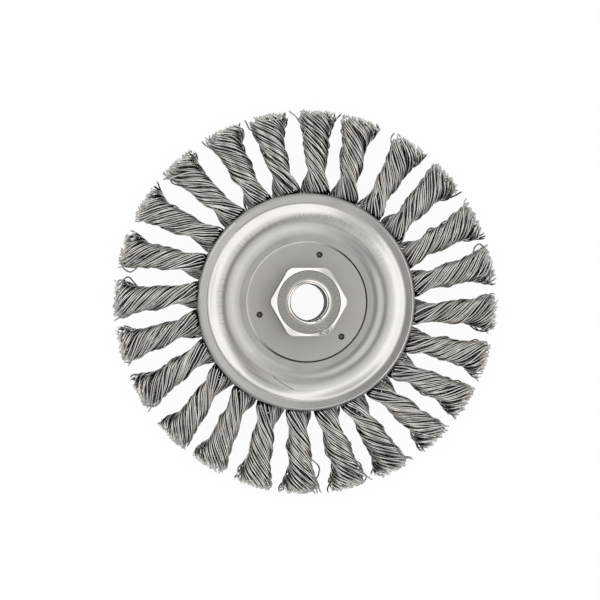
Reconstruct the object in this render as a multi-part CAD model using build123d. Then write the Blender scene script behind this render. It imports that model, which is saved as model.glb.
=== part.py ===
from build123d import *
from math import asin, cos, hypot, pi, radians, sin, sqrt, tan
import os

os.makedirs("parts", exist_ok=True)

# Wire wheel brush with twisted knots. Millimetres. Z is the arbor axis with the nut up, and the wheel lies
# on the rolled end of the nut at Z = 0.

# Brush
WHEEL_D = 125.0             # across the trimmed wire tips
KNOT_COUNT = 24
FIRST_KNOT = 10.6           # angle of knot 1 from +X, degrees

# Side plates, pressed from sheet as a mirrored pair
SHEET_T = 1.2
SEAT_MARGIN = 2.05          # flat seat outside the washer
SEAT_RUN = 4.6              # from the flat seat out to the top of the crown
SEAT_DROP = 0.6             # washer's seat below the crown
CROWN_R = 8.6
CROWN_RISE = 1.9            # crown above the rim
RIM_FILLET_R = 2.0          # hollow between the crown and the rim
RIM_FLAT = 2.04             # width of the rim
RIM_RISE = 0.13             # rim's outer edge above its inner one
RIM_EDGE_R = 1.0            # rounding of the rim's outer corner
RIM_GAP = 8.0               # between the two plates at the rim

# Hub washer
WASHER_D = 39.5
WASHER_T = 1.5
WASHER_EDGE_R = 0.5
DIMPLE_COUNT = 3
DIMPLE_D = 2.1
DIMPLE_BOTTOM_D = 0.9
DIMPLE_DEPTH = 1.0
DIMPLE_INSET = 3.85         # from the washer's edge to the dimples' centres
FIRST_DIMPLE = 75.0         # degrees from +X

# Arbor nut
NUT_AF = 22.0               # across the flats
CORNER_CUT = 0.45           # turned off each corner
FACE_INSET = 0.7            # chamfer's circle on the top face, inside the flats
NUT_CHAMFER = 30.0          # degrees from the top face
NUT_H = 12.0                # above the washer
THREAD_D = 14.0
THREAD_PITCH = 2.0
THREAD_CUT = 1.0825         # a nut's thread depth on the diameter, as a share of the pitch
MOUTH_OVER = 0.1            # chamfered mouth outside the thread
RELIEF_OVER = 0.7           # plain bore outside the thread
RELIEF_L = 7.5              # plain bore below the thread
SHANK_WALL = 1.3
LIP_REACH = 1.8             # rolled end that holds the back plate
LIP_T = 1.0
LIP_EDGE_R = 0.45
BORE_FIT = 0.05             # all round the shank

# Core
CORE_T = 2.0
CORE_REACH = 1.2            # core's edge outside the crown's circle
CORE_WEB = 2.05             # between a hole and the core's edge
HOLE_FIT = 0.2              # all round the wire bundle
LAY_FIT = 0.1               # between the folded bundle and the core's faces
SPACER_GAP = 1.65           # between the folded bundles and the spacers

# Twisted knots, from the core outwards
BUNDLE_D = 3.7              # folded bundle where it passes through the core
BUNDLE_SIDES = 6
TWIST_GAP = 0.7             # from the core's edge to the start of the twist
FLATTEN = 0.75              # thickness of the pressed bundle as a share of its diameter
RIM_TWIST = 35.0            # turn of the two legs at the rim, from the tangent, degrees
RIM_FIT = 0.4               # between the legs and each plate at the rim
KNOT_GAP = 0.8              # between neighbouring knots at the rim
NECK_REACH = 6.4            # from the rim to the first neck
NECK_W = 6.1
NECK_T = 7.0
BELLY_W = 7.7
BELLY_T = 6.7
TWIST_L = 23.4              # length of one full turn of the rope
FLARE_L = 9.5               # length over which the wires spread
TIP_W = 13.0
TIP_T = 12.4
TIP_LEAN = 2.6              # the tip's offset against the base, along the rim
TIP_HOLLOW = 0.7            # dish in the cut end
LEG_PARTING = 0.3           # hollow between the two legs at the rim, as a share of the radius
BELLY_PARTING = 0.1         # and at the belly
STRANDS = 6                 # ridges round the rope
GROOVE = 0.13               # depth of the grooves as a share of the radius
TIP_GROOVE = 0.26           # and at the tip, where the strands part
RINGS = 12                  # sections along the rope outside the plates

# Sizes that follow from the others
WHEEL_R = WHEEL_D / 2
SEAT_R = WASHER_D / 2 + SEAT_MARGIN
CROWN_CIRCLE_R = SEAT_R + SEAT_RUN
RIM_SPAN = CROWN_R + RIM_FILLET_R
RIM_RUN = sqrt(RIM_SPAN**2 - (RIM_SPAN - CROWN_RISE)**2)
PLATE_R = CROWN_CIRCLE_R + RIM_RUN + RIM_FLAT + RIM_EDGE_R
RIM_OUT = RIM_GAP / 2 + SHEET_T
SEAT_OUT = RIM_OUT + CROWN_RISE - SEAT_DROP
SEAT_IN = SEAT_OUT - SHEET_T
MID_Z = LIP_T + SEAT_OUT
WASHER_Z = MID_Z + SEAT_OUT
HEAD_Z = WASHER_Z + WASHER_T
TOP_Z = HEAD_Z + NUT_H
THREAD_R = (THREAD_D - THREAD_CUT * THREAD_PITCH) / 2
RELIEF_R = THREAD_D / 2 + RELIEF_OVER
SHANK_R = RELIEF_R + SHANK_WALL
HUB_HOLE_R = SHANK_R + BORE_FIT
BUNDLE_R = BUNDLE_D / 2
HOLE_R = BUNDLE_R + HOLE_FIT
CORE_R = CROWN_CIRCLE_R + CORE_REACH
HOLE_CIRCLE_R = CORE_R - CORE_WEB - HOLE_R
SPACER_R = HOLE_CIRCLE_R - BUNDLE_R - SPACER_GAP
LEG_Z = CORE_T / 2 + LAY_FIT + BUNDLE_R
TWIST_START = CORE_R + TWIST_GAP
NECK = PLATE_R + NECK_REACH
BELLY = NECK + TWIST_L / 4
FLARE_START = WHEEL_R - FLARE_L
SIDE_BY_SIDE = TWIST_START + (PLATE_R - TWIST_START) * 90 / (90 + RIM_TWIST)


def arc_about(center, radius, start, end):
    """Arc in the XZ plane from the start angle to the end angle, both in radians from +X."""
    turns = (start, (start + end) / 2, end)
    return ThreePointArc(*[(center[0] + radius * cos(a), 0, center[1] + radius * sin(a)) for a in turns])


def plate_surface(depth):
    """Arcs of the plate's section from the washer's seat over the crown to the rim, at this depth
    below the outer face. Heights are above the wheel's middle plane."""
    crown = (CROWN_CIRCLE_R, RIM_OUT + CROWN_RISE - CROWN_R)
    seat_arc_r = (SEAT_RUN**2 - SEAT_DROP * (2 * CROWN_R - SEAT_DROP)) / (2 * SEAT_DROP)
    seat = (SEAT_R, SEAT_OUT + seat_arc_r)
    seat_turn = asin(SEAT_RUN / (CROWN_R + seat_arc_r))
    rim = (CROWN_CIRCLE_R + RIM_RUN, RIM_OUT + RIM_FILLET_R)
    rim_turn = asin(RIM_RUN / RIM_SPAN)
    return [
        arc_about(seat, seat_arc_r + depth, -pi / 2, -pi / 2 + seat_turn),
        arc_about(crown, CROWN_R - depth, pi / 2 + seat_turn, pi / 2 - rim_turn),
        arc_about(rim, RIM_FILLET_R + depth, -pi / 2 - rim_turn, -pi / 2),
    ]


def side_plate():
    """Domed plate on the nut's side of the wheel, its section turned about the axis."""
    outer = plate_surface(0)
    inner = plate_surface(SHEET_T)
    rim_top = RIM_OUT + RIM_RISE
    corner = (PLATE_R, 0, rim_top - SHEET_T)
    edge = arc_about((PLATE_R - RIM_EDGE_R, rim_top - RIM_EDGE_R), RIM_EDGE_R, pi / 2, 0)
    bore_top = (HUB_HOLE_R, 0, SEAT_OUT)
    bore_end = (HUB_HOLE_R, 0, SEAT_IN)
    section = [
        Line(bore_top, outer[0] @ 0),
        *outer,
        Line(outer[-1] @ 1, edge @ 0),
        edge,
        Line(edge @ 1, corner),
        Line(corner, inner[-1] @ 1),
        *inner,
        Line(inner[0] @ 0, bore_end),
        Line(bore_end, bore_top),
    ]
    return revolve(make_face(section), axis=Axis.Z)


def hub_washer():
    """Flat washer with a rounded upper edge and three tapered punch marks."""
    low = (Align.CENTER, Align.CENTER, Align.MIN)
    high = (Align.CENTER, Align.CENTER, Align.MAX)
    washer = Cylinder(WASHER_D / 2, WASHER_T, align=low)
    washer = fillet(washer.edges().group_by(Axis.Z)[-1], WASHER_EDGE_R)
    washer -= Cylinder(HUB_HOLE_R, 3 * WASHER_T)
    punch = Pos(Z=WASHER_T) * Cone(DIMPLE_BOTTOM_D / 2, DIMPLE_D / 2, DIMPLE_DEPTH, align=high)
    for place in PolarLocations(WASHER_D / 2 - DIMPLE_INSET, DIMPLE_COUNT, FIRST_DIMPLE):
        washer -= place * punch
    return Pos(Z=WASHER_Z) * washer


def arbor_nut():
    """Nut turned from hexagon bar: chamfered head, shank through the hub, end rolled over the back plate."""
    bar = RegularPolygon(NUT_AF / 2, 6, major_radius=False)
    corner_r = NUT_AF / 2 / cos(pi / 6) - CORNER_CUT
    face_r = NUT_AF / 2 - FACE_INSET
    chamfer_drop = (corner_r - face_r) * tan(radians(NUT_CHAMFER))
    mouth_drop = THREAD_D / 2 + MOUTH_OVER - THREAD_R
    lip_r = SHANK_R + LIP_REACH
    outline = Polyline(
        (THREAD_R, 0, RELIEF_L),
        (THREAD_R, 0, TOP_Z - mouth_drop),
        (THREAD_R + mouth_drop, 0, TOP_Z),
        (face_r, 0, TOP_Z),
        (corner_r, 0, TOP_Z - chamfer_drop),
        (corner_r, 0, HEAD_Z),
        (SHANK_R, 0, HEAD_Z),
        (SHANK_R, 0, LIP_T),
        (lip_r, 0, LIP_T),
        (lip_r, 0, 0),
        (RELIEF_R, 0, 0),
        (RELIEF_R, 0, RELIEF_L - (RELIEF_R - THREAD_R)),
        close=True,
    )
    turned = revolve(make_face(outline), axis=Axis.Z)
    turned = fillet(turned.edges().filter_by(GeomType.CIRCLE).group_by(Axis.Z)[0], LIP_EDGE_R)
    head = Pos(Z=HEAD_Z) * extrude(bar, NUT_H)
    below = Cylinder(2 * lip_r, HEAD_Z, align=(Align.CENTER, Align.CENTER, Align.MIN))
    return turned & (head + below)


def core_disc():
    """Disc that the wire bundles are looped through, with one hole for each knot."""
    disc = Cylinder(CORE_R, CORE_T) - Cylinder(HUB_HOLE_R, 2 * CORE_T)
    for place in PolarLocations(HOLE_CIRCLE_R, KNOT_COUNT, FIRST_KNOT):
        disc -= place * Cylinder(HOLE_R, 2 * CORE_T)
    return disc


def hub_spacer():
    """Ring that fills the hub between the core and the front plate."""
    height = SEAT_IN - CORE_T / 2
    ring = Cylinder(SPACER_R, height) - Cylinder(HUB_HOLE_R, 2 * height)
    return Pos(Z=(SEAT_IN + CORE_T / 2) / 2) * ring


def skin(rings, hollow=0.0):
    """Closed solid over rings of points that run right-handed about +X. The far end is dished by the hollow."""
    count = len(rings[0])
    first = sum(rings[0], Vector()) / count
    last = sum(rings[-1], Vector()) / count - Vector(hollow, 0, 0)
    corners = []
    for i in range(count):
        j = (i + 1) % count
        corners.append((first, rings[0][j], rings[0][i]))
        corners.append((last, rings[-1][i], rings[-1][j]))
        for near, far in zip(rings, rings[1:]):
            corners.append((near[i], near[j], far[j]))
            corners.append((near[i], far[j], far[i]))
    return Solid(Shell([Face(Wire.make_polygon(three, close=True)) for three in corners]))


def eased(reach, stations):
    """Value at this distance from the axis, eased between (distance, value) stations."""
    for (near, low), (far, high) in zip(stations, stations[1:]):
        if reach <= far:
            share = (reach - near) / (far - near)
            return low + (high - low) * (1 - cos(pi * share)) / 2
    return stations[-1][1]


def twist_at(reach):
    """Turn of the two legs at this distance from the axis, in degrees from the tangent. They stand on edge
    where the twist starts and at the neck, and turn at a steady pitch from there on."""
    if reach < PLATE_R:
        return -90 + 90 * (reach - TWIST_START) / (SIDE_BY_SIDE - TWIST_START)
    if reach < NECK:
        return RIM_TWIST + (90 - RIM_TWIST) * (reach - PLATE_R) / NECK_REACH
    return 90 + 360 * (reach - NECK) / TWIST_L


def rim_legs():
    """Half width across the two legs and half thickness of them at the rim, where they fill what the plates
    and the neighbouring knots leave."""
    turn = radians(RIM_TWIST)
    thick = FLATTEN * BUNDLE_D
    between_plates = RIM_GAP / 2 - RIM_FIT
    between_knots = PLATE_R * sin(pi / KNOT_COUNT) - KNOT_GAP / 2
    wide = min(
        sqrt(between_plates**2 - (thick * cos(turn))**2) / sin(turn),
        sqrt(between_knots**2 - (thick * sin(turn))**2) / cos(turn),
    )
    return wide, thick


def rope_section(reach):
    """Ring of ridge and groove points round the two twisted legs, at this distance from the axis."""
    rim_wide, rim_thick = rim_legs()
    flat_wide = SIDE_BY_SIDE * sin(pi / KNOT_COUNT) - KNOT_GAP / 2
    long_r = eased(reach, [(TWIST_START, LEG_Z + BUNDLE_R), (SIDE_BY_SIDE, flat_wide), (PLATE_R, rim_wide),
                           (NECK, NECK_T / 2), (BELLY, BELLY_W / 2), (FLARE_START, BELLY_W / 2),
                           (WHEEL_R, TIP_W / 2)])
    short_r = eased(reach, [(TWIST_START, BUNDLE_R), (PLATE_R, rim_thick), (NECK, NECK_W / 2),
                            (BELLY, BELLY_T / 2), (FLARE_START, BELLY_W / 2), (WHEEL_R, TIP_T / 2)])
    parting = eased(reach, [(TWIST_START, 0), (PLATE_R, LEG_PARTING), (BELLY, BELLY_PARTING), (WHEEL_R, 0)])
    groove = eased(reach, [(TWIST_START, GROOVE), (FLARE_START, GROOVE), (WHEEL_R, TIP_GROOVE)])
    lean = eased(reach, [(PLATE_R, 0), (WHEEL_R, TIP_LEAN)]) if reach > PLATE_R else 0
    turn = radians(180 - twist_at(reach))
    ring = []
    for i in range(2 * STRANDS):
        angle = pi * i / STRANDS
        radius = 1 / hypot(cos(angle) / long_r, sin(angle) / short_r)
        radius *= 1 - parting * sin(angle)**4
        if i % 2:
            radius *= 1 - groove
        y = lean + radius * cos(angle + turn)
        z = radius * sin(angle + turn)
        x = sqrt(WHEEL_R**2 - y**2) if reach == WHEEL_R else reach
        ring.append(Vector(x, y, z))
    return ring


def fold_section(x, z, heading):
    """Ring round the folded bundle at a point of the XZ plane, facing along the heading in degrees."""
    ring = []
    for i in range(BUNDLE_SIDES):
        angle = 2 * pi * i / BUNDLE_SIDES
        across = BUNDLE_R * cos(angle)
        ring.append(Vector(x - across * sin(radians(heading)), -BUNDLE_R * sin(angle),
                           z + across * cos(radians(heading))))
    return ring


def wire_knot():
    """Bundle folded through its hole in the core, its two legs laid outwards and twisted into a rope."""
    step = (WHEEL_R - PLATE_R) / (RINGS - 1)
    reaches = [TWIST_START, (TWIST_START + PLATE_R) / 2]
    reaches += [PLATE_R + i * step for i in range(RINGS - 1)] + [WHEEL_R]
    rope = skin([rope_section(reach) for reach in reaches], TIP_HOLLOW)
    bend_r = LEG_Z - CORE_T / 2
    bend_x = HOLE_CIRCLE_R + bend_r
    leg_end = TWIST_START + BUNDLE_R / 4
    fold = [fold_section(leg_end, -LEG_Z, 180)]
    for heading in (180, 135, 90):
        below = radians(heading - 270)
        fold.append(fold_section(bend_x + bend_r * cos(below), bend_r * sin(below) - CORE_T / 2, heading))
    for heading in (90, 45, 0):
        above = radians(heading + 90)
        fold.append(fold_section(bend_x + bend_r * cos(above), bend_r * sin(above) + CORE_T / 2, heading))
    fold.append(fold_section(leg_end, LEG_Z, 0))
    return rope + skin(fold)


plate = side_plate()
spacer = hub_spacer()
knot = wire_knot()

# Pieces drawn about the wheel's middle plane
pieces = {
    "front_plate": plate,
    "back_plate": mirror(plate, about=Plane.XY),
    "core_disc": core_disc(),
    "hub_spacer_front": spacer,
    "hub_spacer_back": mirror(spacer, about=Plane.XY),
}
for k in range(KNOT_COUNT):
    pieces[f"knot_{k + 1:02d}"] = Rot(Z=FIRST_KNOT + k * 360 / KNOT_COUNT) * knot
pieces = {node: Pos(Z=MID_Z) * piece for node, piece in pieces.items()}

# Pieces drawn from Z = 0
pieces["hub_washer"] = hub_washer()
pieces["arbor_nut"] = arbor_nut()

for node, piece in pieces.items():
    export_step(piece, f"parts/{node}.step")
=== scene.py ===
from math import cos, pi, radians, sin, tan

import bpy
import numpy as np
from mathutils import Matrix, Vector


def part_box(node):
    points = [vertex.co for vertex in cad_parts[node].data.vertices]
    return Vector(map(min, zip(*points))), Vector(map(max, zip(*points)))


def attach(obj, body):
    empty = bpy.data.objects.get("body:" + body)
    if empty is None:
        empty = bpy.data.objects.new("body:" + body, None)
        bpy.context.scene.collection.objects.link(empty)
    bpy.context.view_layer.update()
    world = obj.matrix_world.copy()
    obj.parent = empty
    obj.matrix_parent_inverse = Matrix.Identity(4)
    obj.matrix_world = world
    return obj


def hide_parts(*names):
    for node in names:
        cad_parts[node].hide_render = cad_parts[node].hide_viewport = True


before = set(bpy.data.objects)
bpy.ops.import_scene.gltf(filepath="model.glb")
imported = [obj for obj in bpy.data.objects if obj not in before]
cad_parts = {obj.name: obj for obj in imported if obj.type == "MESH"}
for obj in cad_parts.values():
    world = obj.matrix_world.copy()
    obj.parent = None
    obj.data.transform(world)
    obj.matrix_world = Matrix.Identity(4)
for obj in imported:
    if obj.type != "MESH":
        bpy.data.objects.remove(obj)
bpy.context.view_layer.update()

MM = 0.001

# Sizes read from the frame, in metres
KNOTS = sorted(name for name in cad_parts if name.startswith("knot_"))
PLATE_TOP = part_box("front_plate")[1]
WASHER_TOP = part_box("hub_washer")[1]
NUT_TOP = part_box("arbor_nut")[1]
CORE_LOW, CORE_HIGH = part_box("core_disc")
PLATE_R = PLATE_TOP.x
WASHER_R = WASHER_TOP.x
HEAD_Z = WASHER_TOP.z
TOP_Z = NUT_TOP.z
MID_Z = (CORE_LOW.z + CORE_HIGH.z) / 2
HALF_CORE = CORE_HIGH.z - MID_Z

# Brush
WHEEL_R = 62.5 * MM
FIRST_KNOT = radians(10.6)
FOLD_REACH = 25.45 * MM         # end of the straight legs over the core
LEG_Z = 2.95 * MM
LEG_R = 1.6 * MM
BEND_SPREAD = 0.8               # share of the leg's thickness by which the wires' bends differ
BEND_STEP = pi / 6              # between the bend's samples
TWIST_START = 28.3 * MM
SIDE_BY_SIDE = 33.48 * MM
NECK = PLATE_R + 6.4 * MM
TWIST_L = 23.4 * MM             # one full turn of the rope
BELLY = NECK + TWIST_L / 4
FLARE_START = WHEEL_R - 11.5 * MM
RIM_TWIST = 35.0                # degrees that the rope's section has turned where it leaves the plates
LEAN_START = 37 * MM            # the knots lean anticlockwise from here
LEAN_END = 57 * MM
TIP_LEAN = 2.25 * MM
ROOT_SWAY = 0.6 * MM            # how much further they lean on the side of the wheel that SWAY_SIDE names
TIP_SWAY = 1.6 * MM
SWAY_SIDE = radians(218)
CUT_R = WHEEL_R - 1.0 * MM      # about where the wires are cut off

# Spans of the rope's section at stations along it: half across the two legs, half across one, and how far
# the sides are drawn in between the legs
STATIONS = [
    (TWIST_START, 4.8 * MM, 1.9 * MM, 0.0),
    (SIDE_BY_SIDE, 3.97 * MM, 2.5 * MM, 0.2),
    (PLATE_R, 5.2 * MM, 3.5 * MM, 0.3),
    (PLATE_R + 3.5 * MM, 4.95 * MM, 4.0 * MM, 0.2),
    (NECK, 3.75 * MM, 3.35 * MM, 0.12),
    (BELLY, 4.05 * MM, 3.8 * MM, 0.1),
    (FLARE_START, 4.1 * MM, 4.05 * MM, 0.08),
    (FLARE_START + 4 * MM, 4.75 * MM, 4.7 * MM, 0.05),
    (FLARE_START + 8.5 * MM, 5.95 * MM, 5.75 * MM, 0.0),
    (WHEEL_R, 6.25 * MM, 6.05 * MM, 0.0),
]

# Wires of one knot, in layers from the outside in: how many, their level in the rope (1 is its outline),
# samples along each, sides of each, and the darkest and the lightest tone
WIRE_R = 0.26 * MM
# The inner layers' low tones are painted shade, as they lie deeper in the bundle
LAYERS = [
    (26, 1.0, 30, 8, 0.6, 1.4),
    (26, 0.82, 26, 4, 0.12, 0.42),
    (16, 0.5, 20, 4, 0.1, 0.25),
]
GROOVE_SHADE = 0.15              # painted shade: how light a wire is still painted on its flanks, where it turns into the bundle
CUT_TONE = 0.8                  # how light its cut end is

# Short wires in the middle of the flared end
CORE_WIRES = 64
CORE_START = FLARE_START - 2 * MM
CORE_SAMPLES = 10
CORE_SIDES = 4
CORE_FILL = 0.62                # share of the section that they fill
CORE_TONES = (0.1, 0.9)

SEED = 400                      # each knot adds its number

# How unevenly the wires lie. Angles are in radians round the rope, levels are shares of its outline, and a
# wave is its size and its shortest and longest length
TURN_SPREAD = 0.12              # from knot to knot
LEAN_SPREAD = 0.5 * MM
GAP_SPREAD = 0.3                # of the gap to the next wire
SINK_SPREAD = 0.045             # how far they lie below their layer
BUNCHES = (3, 5, 8)             # round the rope
BUNCH_PEAK = 2.2                # about the most that the three add up to
BUNCH_LEVEL = 0.05
# Painted shade: wires of a bunch that lies deeper are painted darker, those of one that lies out lighter
BUNCH_SHADE = 0.1
LEVEL_WAVE = (0.03, 7 * MM, 16 * MM)
ANGLE_WAVE = (0.06, 8 * MM, 24 * MM)
CORE_WAVE = (0.08, 6 * MM, 14 * MM)
STRAY_SHARE = 0.24              # of the wires, that wander further
STRAY_WAVE = (0.2, 12 * MM, 26 * MM)
STRAY_LEVEL = 0.06
TIP_SPREAD = 0.11               # how far the ends lie off their place round the rope
TIP_L = 5 * MM
SPLAY_SHARE = 0.2               # of the wires, that stand outwards at the tip
SPLAY_LEVELS = (0.05, 0.3)
SPLAY_SPREAD = 0.05             # and how far all the others do
SPLAY_L = (4 * MM, 8 * MM)

# Cut ends: the longer wires' share, and how far from CUT_R the long and the short ones end, as middle and
# spread
LONG_SHARE = 0.35
LONG_ENDS = (0.6 * MM, 0.3 * MM)
SHORT_ENDS = (-0.7 * MM, 0.6 * MM)
END_LIMITS = (-2.6 * MM, 1.0 * MM)

# Loose wires that stand off the knots: knot, side of it seen from above (1 is anticlockwise), where the wire
# leaves the rope and where it comes back or ends, as distances from the axis, how far it stands off, and
# whether it has a free end
LOOSE_WIRES = [
    (1, 1, 56.5 * MM, 61.4 * MM, 1.9 * MM, False),
    (1, -1, 57.0 * MM, 62.2 * MM, 0.9 * MM, True),
    (2, -1, 57.0 * MM, 62.4 * MM, 0.7 * MM, True),
    (2, -1, 56.0 * MM, 62.0 * MM, 1.1 * MM, True),
    (3, -1, 56.5 * MM, 62.4 * MM, 1.9 * MM, True),
    (4, 1, 57.0 * MM, 62.4 * MM, 1.7 * MM, True),
    (5, 1, 58.0 * MM, 62.4 * MM, 0.7 * MM, True),
    (5, 1, 55.0 * MM, 58.5 * MM, 0.7 * MM, False),
    (6, 1, 56.5 * MM, 62.4 * MM, 2.8 * MM, True),
    (6, 1, 51.5 * MM, 55.5 * MM, 0.6 * MM, False),
    (6, -1, 57.5 * MM, 62.4 * MM, 1.4 * MM, True),
    (7, 1, 56.5 * MM, 62.3 * MM, 1.7 * MM, True),
    (7, 1, 53.0 * MM, 57.0 * MM, 0.7 * MM, False),
    (7, -1, 56.0 * MM, 61.3 * MM, 0.8 * MM, False),
    (8, 1, 56.0 * MM, 62.1 * MM, 1.3 * MM, True),
    (8, -1, 55.5 * MM, 61.3 * MM, 1.2 * MM, False),
    (10, -1, 56.5 * MM, 62.4 * MM, 1.7 * MM, True),
    (11, 1, 55.0 * MM, 61.3 * MM, 1.8 * MM, False),
    (12, -1, 54.0 * MM, 61.0 * MM, 1.5 * MM, False),
    (12, 1, 57.5 * MM, 62.3 * MM, 1.5 * MM, True),
    (14, -1, 57.5 * MM, 62.4 * MM, 1.0 * MM, True),
    (18, 1, 50.0 * MM, 58.5 * MM, 3.0 * MM, False),
    (18, 1, 57.0 * MM, 62.3 * MM, 1.7 * MM, True),
    (18, -1, 57.5 * MM, 62.3 * MM, 1.4 * MM, True),
    (19, -1, 46.0 * MM, 53.0 * MM, 1.1 * MM, False),
    (19, -1, 57.0 * MM, 62.3 * MM, 1.5 * MM, True),
    (22, -1, 42.5 * MM, 48.5 * MM, 0.8 * MM, False),
    (22, 1, 50.0 * MM, 55.0 * MM, 0.6 * MM, False),
    (23, 1, 44.0 * MM, 49.0 * MM, 0.6 * MM, False),
    (23, 1, 54.0 * MM, 59.0 * MM, 0.6 * MM, False),
    (24, -1, 52.0 * MM, 60.0 * MM, 1.1 * MM, False),
    (24, -1, 55.0 * MM, 61.3 * MM, 1.0 * MM, False),
    (24, 1, 55.0 * MM, 61.0 * MM, 0.6 * MM, False),
]
LOOSE_SAMPLES = 16
LOOSE_SIDES = 6
LOOSE_DIP = 0.16                # share of its length that goes on under the rope's surface
LOOSE_TURN = 0.6                # how much of the rope's twist it follows
LOOSE_LEVEL = 0.96
LOOSE_KINK = 0.25               # how unevenly it bows
LOOSE_TONES = (0.7, 1)
ROPE_R = 4.6 * MM               # turns a height over the rope into a level

# Small loops on every knot: how many, where they leave the rope, how long and how high they are
SMALL_LOOPS = (7, 12)
LOOP_SPREAD = 0.6               # how far round the rope they stand from its sides
LOOP_LEAVES = (42 * MM, 57.5 * MM)
LOOP_L = (3.5 * MM, 7 * MM)
LOOP_HEIGHTS = (0.2 * MM, 0.9 * MM)
LOOP_REACH = 62.3 * MM
FREE_FROM = 61 * MM             # one that comes this far out has a free end
LOOP_TONES = (0.6, 1)

# Arbor nut
NUT_AF = 22.0 * MM
NUT_CORNER_R = 12.25 * MM
FACE_R = 10.3 * MM
CHAMFER = radians(30)           # fall of the corners' chamfer
THREAD_R = 5.9175 * MM          # at the crests
THREAD_DEPTH = 1.0825 * MM
THREAD_PITCH = 2.0 * MM
THREAD_CREST = 1 / 8            # half the crest's width, in pitches
THREAD_FLANK = 5 / 16           # width of one flank, in pitches
MOUTH_R = 7.1 * MM
MOUTH_SLOPE = 1.6               # how fast the mouth's steep edge narrows on the way down
WORN_STEP = 0.44 * MM           # width of that edge, and then the slope of the worn lead into the thread
WORN_SLOPE = 0.5
RELIEF_R = 7.7 * MM             # plain bore below the thread
RELIEF_L = 7.5 * MM
SHANK_R = 9.0 * MM
LIP_R = 10.8 * MM               # end of the shank, rolled over the back plate
LIP_T = 1.0 * MM
LIP_EDGE_R = 0.45 * MM
EDGE_BREAK = 0.12 * MM          # the small bevel on the nut's other edges
BORE_MARGIN = 0.01 * MM         # what lies nearer the axis than the mouth by this is bore
SHARP_FROM = radians(28)        # edges of the hexagon that are at least as sharp stay crisp
NUT_STEPS = 144                 # samples round the nut, six flats of 24
THREAD_ROWS = 14                # samples in one pitch of the thread

# Finishes: spans of their patterns, and how deep those are. The tools' lines are about 0.1 mm apart on the
# real pieces, and the paper's tooth is about 0.2 mm: both are drawn coarser here, so that they show
PLATE_STAIN = 9 * MM
PLATE_WAVE, PLATE_WAVE_DEPTH = 12 * MM, 0.12 * MM       # slow unevenness of the drawn sheet
PLATE_PEEL, PLATE_PEEL_DEPTH = 0.5 * MM, 0.012 * MM
PLATE_LINES, PLATE_LINE_DEPTH = 0.4 * MM, 0.006 * MM
WASHER_STAIN = 6 * MM
WASHER_LINES, NUT_LINES, TURNED_DEPTH = 0.35 * MM, 0.3 * MM, 0.01 * MM
NUT_GRAIN = 0.5 * MM
WIRE_STAIN = 2.5 * MM
CORE_STAIN = 5 * MM
PAPER_TOOTH, PAPER_DEPTH = 0.6 * MM, 0.02 * MM

# Marks of making and use on the nut, the washer and the plates, and the painted highlight and shade among
# them
# Painted highlight in a ring on the nut's face round its mouth
MOUTH_HIGHLIGHT_W, MOUTH_HIGHLIGHT_TONE = 0.9 * MM, 0.6
FACE_SHADE_R = FACE_R - 0.12 * MM        # thin ring of painted shade on the nut's face, near its edge
FACE_SHADE_W, FACE_SHADE_TONE = 0.2 * MM, 0.55
PITS_WITHIN = 18.5 * MM         # the punch marks lie nearer the axis than this
PIT_FLOOR, PIT_EDGE = 0.5 * MM, 0.05 * MM       # depths at which the painted shade in them is darkest and ends
SHOULDER_R = 27.9 * MM          # middle of the plate's crown
MARKS_ROUND = 75                # streaks in one radian, about 0.35 mm each
MARK_L = 3.5 * MM
MARK_TONE = 0.4
MARK_ENDS = [                   # where the marks begin and are full, from inside and from outside
    (SHOULDER_R - 1.3 * MM, SHOULDER_R),
    (SHOULDER_R + 1.6 * MM, SHOULDER_R + 0.4 * MM),
]
FOOT_SHADOW_ENDS = (WASHER_R - 0.65 * MM, WASHER_R - 0.45 * MM)    # where the painted shadow along the washer's foot begins and is full
# Painted shade on the plate's shear-cut edge, which is also rougher
SHEARED_SHADED_R = PLATE_R - 0.9 * MM
SHEARED_SHADE_FADE = 0.3 * MM

# Sides of the wheel, as a way out from its axis, and the cosines of the angle to it at which what lies there
# begins and is full
KNOCKED_CORNER = ((cos(radians(299)), sin(radians(299)), 0), 0.972, 0.985)      # of the hexagon
MARKED_SIDE = ((cos(radians(115)), sin(radians(115)), 0), -0.5, 0.3)
FOOT_SHADOW_SIDE = ((cos(radians(-35)), sin(radians(-35)), 0), -0.55, 0.15)    # where the foot stands off the plate, and where its painted shadow lies

# One long scratch on the front plate, as an arc
SCRATCH_CENTRE = (5.3 * MM, -6.4 * MM, 0)
SCRATCH_R = 24.0 * MM
SCRATCH_W = 0.22 * MM
SCRATCH_WAY = (cos(radians(236.7)), sin(radians(236.7)), 0)     # from its centre to the scratch's middle
SCRATCH_END = cos(radians(11.2))
SCRATCH_FULL = cos(radians(8.0))


def eased(reach, column):
    """Value of one column of the rope's stations at these distances from the axis, on a smooth curve."""
    place = np.array([station[0] for station in STATIONS])
    value = np.array([station[column] for station in STATIONS])
    slope = np.gradient(value, place)
    near = np.clip(np.searchsorted(place, reach) - 1, 0, len(place) - 2)
    span = place[near + 1] - place[near]
    t = np.clip((reach - place[near]) / span, 0, 1)
    start = value[near] * (2 * t**3 - 3 * t**2 + 1) + slope[near] * span * (t**3 - 2 * t**2 + t)
    end = value[near + 1] * (3 * t**2 - 2 * t**3) + slope[near + 1] * span * (t**3 - t**2)
    return start + end


def smooth_step(low, high, x):
    """0 below low, 1 above high and an eased rise between them."""
    share = np.clip((x - low) / (high - low), 0, 1)
    return share * share * (3 - 2 * share)


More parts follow.
